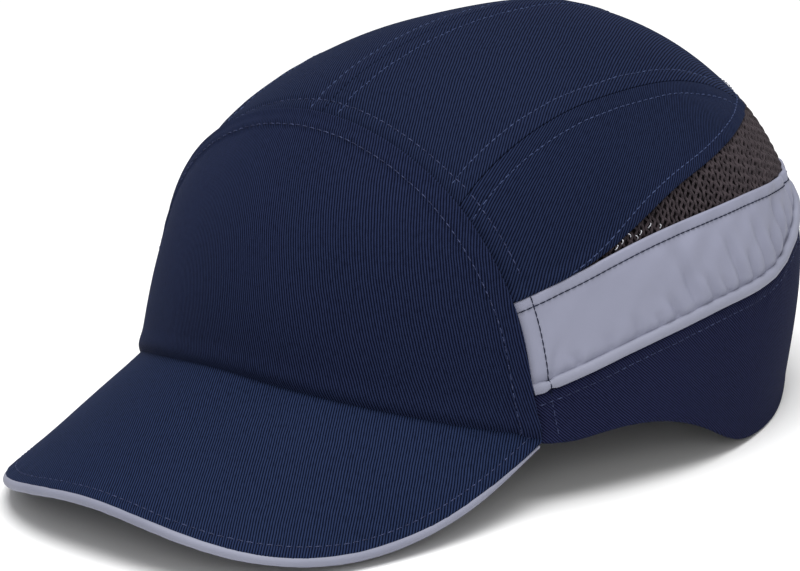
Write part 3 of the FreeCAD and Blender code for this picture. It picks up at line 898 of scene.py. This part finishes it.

# a few light-grey yarn loops on the wearer's left, where the mesh runs out beside the band: their light
# colour is painted highlight, for the bright glints in the mesh there
LOOP_PLACES = -25.5, -23.5, -20.6, -17.9, -16.5, -12.8, -8.6  # along Y
LOOP_RADIUS, LOOP_OUT, LOOP_YARN = 0.55, 0.5, 0.13
loop_area = near(wall, (wall.places[:, 0] > 0) & (np.abs(wall.get("top")) < 6))
loop_line = isolines(loop_area, wall.get("top") - 1.3)[0]
swing = np.linspace(0, math.pi, 7)
loops = Yarns()
for number, loop_y in enumerate(LOOP_PLACES):
    root = loop_line[np.argmin(np.abs(loop_line[:, 1] - loop_y))]
    lean, lift = np.array([0, math.cos(1.3 * number), 1.0]), np.array([0, 0, 0.8 * (number % 3)])
    points = root[:3] + lift + np.outer(np.sin(swing) * LOOP_OUT, root[3:6])
    points -= np.outer(np.cos(swing) * LOOP_RADIUS, lean)
    loops.add(points, np.tile(root[3:6], (len(swing), 1)), LOOP_YARN, LOOP_YARN)
loops.make("mesh_glint_loops", GLINT, "vent_mesh")

# a tape behind the join of the two lower panels at the back
LINE_STEP = 0.8
join_line = wall_rows[0][(wall_rows[0][:, COLUMN["low"]] < 1.5) & (wall_rows[0][:, COLUMN["arch"]] > 2.2)]
join_line = resample(join_line, LINE_STEP)
tube("rear_join_tape", join_line, -2.0 * join_line[:, 3:6], 4.5, 0.4, 12, TAPE, "navy_tape")


# ---- bead along the band ----
def joined(lines, keep, axis):
    """The wall grid is split at the back, so a line there is made from its right half and its left half."""
    parts = [part for line in lines for part in runs_where(line, keep(line))]
    right, left = sorted(sorted(parts, key=len, reverse=True)[:2], key=lambda rows: rows[:, 0].mean())
    if right[0, axis] > right[-1, axis]:
        right = right[::-1]
    if left[0, axis] < left[-1, axis]:
        left = left[::-1]
    return resample(np.concatenate([right, left]), LINE_STEP)


def from_ends(line):
    """How far each row of a line is from the nearer end."""
    count = np.arange(len(line))
    return np.minimum(count, count[::-1]) * LINE_STEP


BEAD_LIFT, BEAD_ACROSS, BEAD_OUT, BEAD_SQUEEZE = 0.35, 1.7, 1.4, 0.65
bead_lines = isolines(near(wall, wall.get("seam") > -4), wall.get("low") - BEAD_HEIGHT / 2)
bead_line = joined(bead_lines, lambda line: line[:, COLUMN["seam"]] > 0.1, axis=1)
wobble = 0.1 * ripples(bead_line[:, :3], 12, 51) + 0.05 * ripples(bead_line[:, :3], 4, 52)
squeeze = 1 - (1 - BEAD_SQUEEZE) * bump(bead_line[:, COLUMN["seam"]] - CROWN_STITCH, 1.2)
lift = BEAD_LIFT + wobble - 0.9 * bump(from_ends(bead_line), 1.5)
tube("band_bead", bead_line, bead_line[:, 3:6] * lift[:, None], BEAD_ACROSS * squeeze, BEAD_OUT * squeeze,
     16, BEAD, "reflective_fabric", "band_piping")

# ---- peak ----
PEAK_STITCH, PEAK_STOP = 2.9, 0.9  # edge to stitches, and the peak's end to the front seam
COVER = 0.7
PEAK_STEP = 0.8 / detail
px, py = np.meshgrid(np.arange(-80, 80.1, PEAK_STEP), np.arange(-166, -40, PEAK_STEP), indexing="ij")
aside, ahead = np.abs(px) / PEAK_HALF_WIDTH, np.maximum(PEAK_BACK_Y - py, 0) / PEAK_REACH
plan_size = (aside ** PEAK_POWER + ahead ** PEAK_POWER) ** (1 / PEAK_POWER)
surface = peak_top(px, py)
peak = grid_patch(np.stack([px, py, surface], -1),
                  {"outline": 1 - plan_size, "crown": outside_plan(px, py, surface)})


def peak_height(p):
    edge, root = p.get("outline"), p.get("crown")
    h = 0.15 * bump(edge - 2.5, 2.5) - 0.22 * bump(edge - PEAK_STITCH, 0.9) + drape(p, 61, 0.25, 55)
    return h + 0.25 * bump(root, 5) + pucker(p, edge - PEAK_STITCH, 3.5, 62, 0.1)


peak_sides = [("outline", 1, 0.1), ("crown", 1, 0.9), ("seam", -1, -PEAK_STOP)]
peak_patch = trimmed(peak, *peak_sides)
peak_edge = np.minimum(edge_distance(peak_patch, peak_sides[:1]), 30)
peak_uv = weave_uv(peak_patch.places[:, 0] * 1.12, peak_patch.places[:, 1] * 1.08, 32)
top_h = peak_height(peak_patch)
shell("peak_top_cloth", peak_patch, top_h + rolled(peak_edge, 0.5), top_h * 0.3 - COVER, NAVY_PEAK_LIT, "cap",
      peak_uv, ["peak_top_cover"])
under_h = -PEAK_THICK - 0.15 * bump(peak_edge - 2.5, 2.5) + 0.2 * bump(peak_edge - PEAK_STITCH, 0.9)
shell("peak_under_cloth", peak_patch, -PEAK_THICK + COVER + 0 * under_h, under_h - rolled(peak_edge, 0.5),
      NAVY_LOW, "cap", peak_uv, ["peak_under_cover"])

outline_line = isolines(near(peak, np.abs(peak.get("outline")) < 4), peak.get("outline"))[0]
edge_parts = runs_where(outline_line, (outline_line[:, COLUMN["crown"]] > 0.3)
                        & (outline_line[:, COLUMN["seam"]] < -PEAK_STOP))
edge_line = resample(max(edge_parts, key=len), LINE_STEP)
wobble = 0.08 * ripples(edge_line[:, :3], 14, 71) + 0.05 * ripples(edge_line[:, :3], 5, 72)
edge_out = np.cross(np.gradient(edge_line[:, :3], axis=0), edge_line[:, 3:6])
edge_out /= np.linalg.norm(edge_out, axis=1, keepdims=True)
centre_out = edge_line[:, :3] - np.array([0, PEAK_BACK_Y - 30, 20])
edge_out *= np.sign((edge_out * centre_out).sum(1, keepdims=True))
taper = 0.42 + 0.58 * smooth(0, 32, from_ends(edge_line))
tube("peak_bead", edge_line, edge_out * 0.25 - edge_line[:, 3:6] * (1.35 + wobble)[:, None], 1.4 * taper,
     (1.45 + wobble) * taper, 16, BEAD, "reflective_fabric", "peak_piping")


# ---- topstitching ----
def band_and_bead_height(p):
    """The surface that the upright row of stitches crosses: the band, then the bead below it."""
    off_middle = (p.get("low") - BEAD_HEIGHT / 2) / (BEAD_ACROSS * BEAD_SQUEEZE)
    round_top = BEAD_LIFT + BEAD_OUT * BEAD_SQUEEZE * np.sqrt(np.maximum(1 - off_middle ** 2, 0))
    cloth = np.where(p.get("low") > 0, band_height(p), lower_height(p))
    return np.where(np.abs(off_middle) < 1, np.maximum(round_top, cloth), cloth)


def clear(p):
    """Where the crown's rows run: clear of the front seam and of the hem."""
    return (p.get("seam") > 0.6) & (p.get("hem") > 1)


side_area = near(wall, (np.abs(wall.get("side")) < 30) & (wall.get("hem") > -8) & (wall.get("seam") > -4))
hem_area = near(wall, (wall.get("hem") > -2) & (wall.get("hem") < 9) & (wall.get("seam") > -2))
hem_row = HEM_STITCH * smooth(-52, -8, wall.places[:, 1])  # the row runs into the band at its front end
band_area = near(wall, (wall.get("seam") > -2) & (wall.get("top") < 2) & (wall.get("low") > -12))
low_area = near(wall, (wall.get("seam") > -2) & (wall.get("low") < 2))
FLAT_YARN = {"gap": 0, "radius": 0.18, "sink": 0.04}  # nearly unbroken, lying on the surface
for store, patch, values, keep, height, yarn in (
        ("topstitch_front", front_part, wall.get("seam") + FRONT_STITCH, lambda p: p.get("peak") > -1.8,
         front_height, {}),
        ("topstitch_crown", dome, np.abs(dome.get("centre")) - SEAM_STITCH, clear, crown_height, {}),
        ("topstitch_crown", dome, dome.get("side") + SEAM_STITCH, clear, crown_height, {}),
        ("topstitch_crown", side_area, wall.get("side") - SEAM_STITCH,
         lambda p: clear(p) & (p.get("top") > 0.5), side_height, {}),
        ("topstitch_front", dome, dome.get("seam") - CROWN_STITCH,
         lambda p: (p.places[:, 2] > 60) & (p.get("side") < 1), crown_height, {}),
        ("topstitch_front", side_area, wall.get("seam") - CROWN_STITCH,
         lambda p: (p.get("side") > 0) & (p.get("top") > -2.6), side_height, {}),
        ("topstitch_crown", hem_area, wall.get("hem") - hem_row,
         lambda p: (p.get("seam") > 0.6) & (p.get("top") > 0.5), side_height, {}),
        ("topstitch_band", band_area, wall.get("top") + BAND_STITCH,
         lambda p: (p.get("seam") > -2.2) & (p.get("bead") > 1.2), band_height, FLAT_YARN),
        ("topstitch_band", band_area, wall.get("seam") - CROWN_STITCH,
         lambda p: (p.get("low") > -3.4) & (p.get("top") < 1.3), band_and_bead_height, FLAT_YARN),
        ("topstitch_front", low_area, wall.get("low") + LOW_STITCH, lambda p: p.get("seam") > -2.2,
         lower_height, {}),
        ("topstitch_front", low_area, wall.get("seam") - CROWN_STITCH,
         lambda p: (p.get("low") < -2.5) & (p.get("rim") > 0.5), lower_height, {}),
        ("topstitch_front", near(peak, peak.get("outline") > 0), peak.get("outline") - PEAK_STITCH,
         lambda p: (p.get("crown") > -0.8) & (p.get("seam") < 1), peak_height, {})):
    stitch_lines(store, patch, values, keep, height, **yarn)
for store, colour in (("topstitch_front", DIM_THREAD), ("topstitch_crown", NAVY_THREAD),
                      ("topstitch_band", DARK_THREAD)):
    thread_store[store].make(store, colour, "navy_twill")

# ---- arch binding ----
arch_lines = isolines(near(wall, np.abs(wall.get("arch")) < 14), wall.get("arch") - BINDING_WIDTH / 2)
arch_line = joined(arch_lines, lambda line: line[:, COLUMN["rim"]] > -0.2, axis=2)
tube("arch_binding_tape", arch_line, -0.45 * arch_line[:, 3:6], 2.1, 1.35, 14, TAPE, "navy_tape",
     "arch_binding")

# ---- inside: sweatband, seam tapes ----
SWEAT_BACK = 30
# the wall has no use for the peak's two fields, so they hold the sweatband's top and its rear end
wall.rows[:, COLUMN["outline"]] = sweat_top_at(wall.places[:, 1]) - wall.places[:, 2]
wall.rows[:, COLUMN["crown"]] = SWEAT_BACK - wall.places[:, 1]
sweat_sides = [("outline", 1, 0), ("crown", 1, 0), ("rim", 1, -1.6), ("peak", 1, 0)]
sweat_part = wall.copy()
in_front = sweat_part.get("seam") < 6  # only there does the peak bound it
sweat_part.rows[:, COLUMN["peak"]] = np.where(in_front, sweat_part.get("peak"), OUT_OF_REACH)
sweat_patch = trimmed(sweat_part, *sweat_sides)
sweat_edge = edge_distance(sweat_patch, sweat_sides)
quilt = 0.5 * smooth(0, 6, sweat_edge) - 0.35 * bump(sweat_edge - 3.5, 0.9)
shell("sweatband_cloth", sweat_patch, -2.1 + 0 * quilt, -3.7 - quilt - rolled(sweat_edge, 0.6), TERRY, "cap",
      wall_uv(sweat_patch, 0), ["sweatband"])


def tape(name, patch, sides, nodes):
    part = trimmed(patch, *sides, rings=(0.4,))
    edge = edge_distance(part, sides)
    shell(name, part, -1.35 + 0 * edge, -1.95 - rolled(edge, 0.4) + 0.12 * bump(edge - 1.5, 0.6), TAPE, "cap",
          wall_uv(part, 20), nodes)


TAPE_HALF = 6.0
tape("front_tape_strip", wall, [("seam", 1, TAPE_HALF), ("seam", -1, TAPE_HALF), ("peak", 1, -0.3)],
     ["front_seam_tape"])
tape_ends = [("seam", 1, -6.3), ("hem", 1, 0)]
tape("centre_tape_strip", dome, [("centre", 1, TAPE_HALF), ("centre", -1, TAPE_HALF), *tape_ends],
     ["centre_seam_tape"])
for sign, word in ((1, "left"), (-1, "right")):
    half = near(dome, sign * dome.get("centre") > 30)
    tape(f"side_tape_inner_{word}", half, [("side", 1, TAPE_HALF), ("side", -1, 3.5), *tape_ends],
         [f"side_seam_tape_{word}"])

# ---- liner: plastic shell from the CAD, foam pads made here ----
for label, material in (("liner_shell", SHELL), ("peak_board", BOARD)):
    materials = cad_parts[label].data.materials
    materials.clear()
    materials.append(material)

# each pad's box in X, Y and Z; three fields that its grid no longer needs hold the distances into it
PADS = {
    "crown_pad": ((-26, 26), (-20, 18), (60, 130)),
    "front_pad": ((-44, 44), (-120, -66), (74, 96)),
    "rear_pad": ((-34, 34), (64, 120), (74, 94)),
    "side_pad_left": ((48, 120), (-34, 30), (72, 92)),
    "side_pad_right": ((-120, -48), (-34, 30), (72, 92)),
}
PAD_TOP, PAD_UNDER, PAD_ROLL = 8.6, 12.2, 2.6
PAD_SIDES = [("outline", 1, 0), ("crown", 1, 0), ("rim", 1, 0)]
for label, box in PADS.items():
    source = dome if label == "crown_pad" else wall
    inset = source.places - source.normals * PAD_UNDER
    part = source.copy()
    for axis, (side, _, _) in enumerate(PAD_SIDES):
        low, high = box[axis]
        part.rows[:, COLUMN[side]] = np.minimum(inset[:, axis] - low, high - inset[:, axis])
    part = trimmed(part, *PAD_SIDES, rings=(0.5, 1.2, 2.4))
    edge = edge_distance(part, PAD_SIDES)
    under = -PAD_UNDER - rolled(edge, PAD_ROLL) - 0.25 * ripples(part.places, 18, 81)
    made = shell(label + "_foam", part, -PAD_TOP + 0 * edge, under, FOAM, "liner", wall_uv(part, 0),
                 [label])


# ---- hook-and-loop strap ----
def strap(name, outside, thick, angles, trim, material, body, node, corner=5.0):
    """An upright strip round the strap's axis, with rounded corners and softened edges."""
    start, end = (math.radians(a) for a in angles)
    radius = STRAP_RADIUS - outside
    length, high = (end - start) * radius, STRAP_HEIGHT - 2 * trim
    nu, nv = int(length / 0.8) + 2, int(high / 0.8) + 2
    s, v = np.meshgrid(np.linspace(0, length, nu), np.linspace(-high / 2, high / 2, nv), indexing="ij")
    from_end = np.minimum(s, length - s)
    pull = np.clip((corner - from_end) / corner, 0, 1)
    v = v * (1 - (corner / (high / 2)) * (1 - np.sqrt(np.maximum(1 - pull ** 2, 0))))
    edge = np.minimum(from_end, high / 2 - np.abs(v)) + 0.01
    angle = start + s / radius
    middle = radius - thick / 2
    z = STRAP_BOTTOM + STRAP_HEIGHT / 2 + v
    half = thick / 2 * np.sqrt(np.clip(edge / 0.8, 0.05, 1))
    radial = np.stack([np.cos(angle), np.sin(angle), 0 * angle], -1)
    base = radial * middle + np.stack([0 * z, STRAP_AXIS_Y + 0 * z, z], -1)
    outer, inner = base + radial * half[..., None], base - radial * half[..., None]
    index = np.arange(nu * nv).reshape(nu, nv)
    faces = grid_quads(nu, nv)
    under = [[i + nu * nv for i in face[::-1]] for face in faces]
    border = list(index[:, 0]) + list(index[-1, 1:]) + list(index[-2::-1, -1]) + list(index[0, -2:0:-1])
    rim = [[b, a, a + nu * nv, b + nu * nv] for a, b in zip(border, border[1:] + border[:1])]
    flat = np.stack([s.ravel(), v.ravel()], 1)
    made = mesh_object(name, place(np.concatenate([outer.reshape(-1, 3), inner.reshape(-1, 3)])),
                       faces + under + [[int(i) for i in face] for face in rim], material, body,
                       np.concatenate([flat, flat]))
    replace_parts(made, node)


STRAP_THICK, PATCH_THICK, SLIP = 1.0, 0.7, 0.15
strap("hook_strap_web", 0.0, STRAP_THICK, (76, 130), 0.0, WEB, "strap", "hook_strap")
strap("hook_patch_fuzz", STRAP_THICK, PATCH_THICK, (78, 94), 2.0, LOOP, "strap", "hook_patch", corner=2.0)
INNER_SIDE = STRAP_THICK + 2 * PATCH_THICK + SLIP
strap("loop_patch_fuzz", INNER_SIDE - PATCH_THICK, PATCH_THICK, (64, 100), 2.0, LOOP, "cap", "loop_patch",
      corner=2.0)
strap("loop_strap_web", INNER_SIDE, STRAP_THICK, (50, 102), 0.0, WEB, "cap", "loop_strap")

# ---- floor, light and camera ----
FLOOR_HALF = 6  # metres, as are the lights' places
floor_mesh = bpy.data.meshes.new("floor")
corners = [(i * FLOOR_HALF, j * FLOOR_HALF, 0) for i, j in ((-1, -1), (1, -1), (1, 1), (-1, 1))]
floor_mesh.from_pydata(corners, [], [(0, 1, 2, 3)])
floor = bpy.data.objects.new("floor", floor_mesh)
bpy.context.scene.collection.objects.link(floor)
paper = Nodes("floor_paper")
paper.set(Base_Color=(0.9, 0.9, 0.9, 1), Roughness=0.9)
floor.data.materials.append(paper.material)
floor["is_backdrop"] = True

world = bpy.data.worlds.new("studio")
world.use_nodes = True
world.node_tree.nodes["Background"].inputs[0].default_value = (1, 1, 1, 1)
world.node_tree.nodes["Background"].inputs[1].default_value = 0.47
bpy.context.scene.world = world
bpy.context.scene.view_settings.view_transform = "Standard"


def softbox(name, position, width, power):
    """A square light that faces the middle of the cap."""
    light = bpy.data.lights.new(name, "AREA")
    light.shape = "SQUARE"
    light.size = width
    light.energy = power
    made = bpy.data.objects.new(name, light)
    made.location = position
    made.rotation_mode = "QUATERNION"
    made.rotation_quaternion = (Vector(middle) - Vector(position)).to_track_quat("-Z", "Y")
    bpy.context.scene.collection.objects.link(made)


middle = (cad_low + cad_high) / 2
softbox("key", (0.15, -0.1, 1.4), 1.1, 23.5)
softbox("side", (1.1, -1.1, 0.6), 0.9, 5.5)

VIEW_TURN, VIEW_RISE, VIEW_ROLL, VIEW_DISTANCE = 41.96, 15.93, -0.67, 1242.0
PIXELS_PER_MM, FRAME_WIDTH = 3.364, 800
turn, rise, roll = (math.radians(a) for a in (VIEW_TURN, VIEW_RISE, VIEW_ROLL))
back = np.array([math.sin(turn) * math.cos(rise), -math.cos(turn) * math.cos(rise), math.sin(rise)])
right = np.array([math.cos(turn), math.sin(turn), 0])
up = np.cross(back, right)
right, up = right * math.cos(roll) + up * math.sin(roll), -right * math.sin(roll) + up * math.cos(roll)
AIM_RIGHT, AIM_UP = -21.8, -22.2
target = np.array([0, 0, 60.0])
eye = target + back * VIEW_DISTANCE
look = target + right * AIM_RIGHT + up * AIM_UP
back = (eye - look) / np.linalg.norm(eye - look)
right = np.cross(up, back)
right /= np.linalg.norm(right)
up = np.cross(back, right)
camera_data = bpy.data.cameras.new("camera")
camera_data.sensor_width = 36
camera_data.lens = 36 * PIXELS_PER_MM * VIEW_DISTANCE / FRAME_WIDTH
camera_data.clip_start, camera_data.clip_end = 0.01, 50
camera = bpy.data.objects.new("camera", camera_data)
axes = TO_ROW @ np.stack([right, up, back], 1)
camera.matrix_world = Matrix([[*axes[i], place(eye)[i]] for i in range(3)] + [[0, 0, 0, 1]])
bpy.context.scene.collection.objects.link(camera)
bpy.context.scene.camera = camera

low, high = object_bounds()
